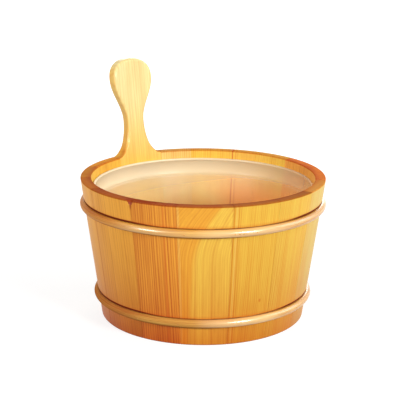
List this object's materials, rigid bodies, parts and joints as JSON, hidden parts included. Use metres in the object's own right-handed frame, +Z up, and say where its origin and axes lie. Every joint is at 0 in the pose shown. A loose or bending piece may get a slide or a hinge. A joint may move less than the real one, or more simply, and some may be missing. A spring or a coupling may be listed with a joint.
{
  "type": "sauna bucket",
  "caption": "Round coopered wooden bucket with a paddle handle grown from one stave, cane hoops and a loose plastic liner, for ladling water.",
  "frame": {"origin": "middle of the bucket's overall footprint on the surface that it stands on; the bucket's own axis is 7 mm in front of it", "axes": "+Z up, +Y back towards the stave that carries the handle, +X to the right seen from the front"},
  "size_m": [0.2618, 0.2758, 0.258],
  "materials": {
    "handle_pine": "clear satin lacquer",
    "stave_pine": "clear satin lacquer",
    "bottom_pine": "planed, unlacquered",
    "hoop_cane": "smooth satin cane",
    "liner_plastic": "milky, see-through, satin"
  },
  "bodies": {
    "root": {"handle_stave": "handle_pine", "stave_01": "stave_pine", "stave_02": "stave_pine", "stave_03": "stave_pine", "stave_04": "stave_pine", "stave_05": "stave_pine", "stave_06": "stave_pine", "stave_07": "stave_pine", "stave_08": "stave_pine", "stave_09": "stave_pine", "stave_10": "stave_pine", "stave_11": "stave_pine", "stave_12": "stave_pine", "stave_13": "stave_pine", "stave_14": "stave_pine", "stave_15": "stave_pine", "upper_hoop": "hoop_cane", "lower_hoop": "hoop_cane", "bottom_board_1": "bottom_pine", "bottom_board_2": "bottom_pine", "bottom_board_3": "bottom_pine", "bottom_board_4": "bottom_pine", "liner": "liner_plastic"}
  },
  "joints": []
}
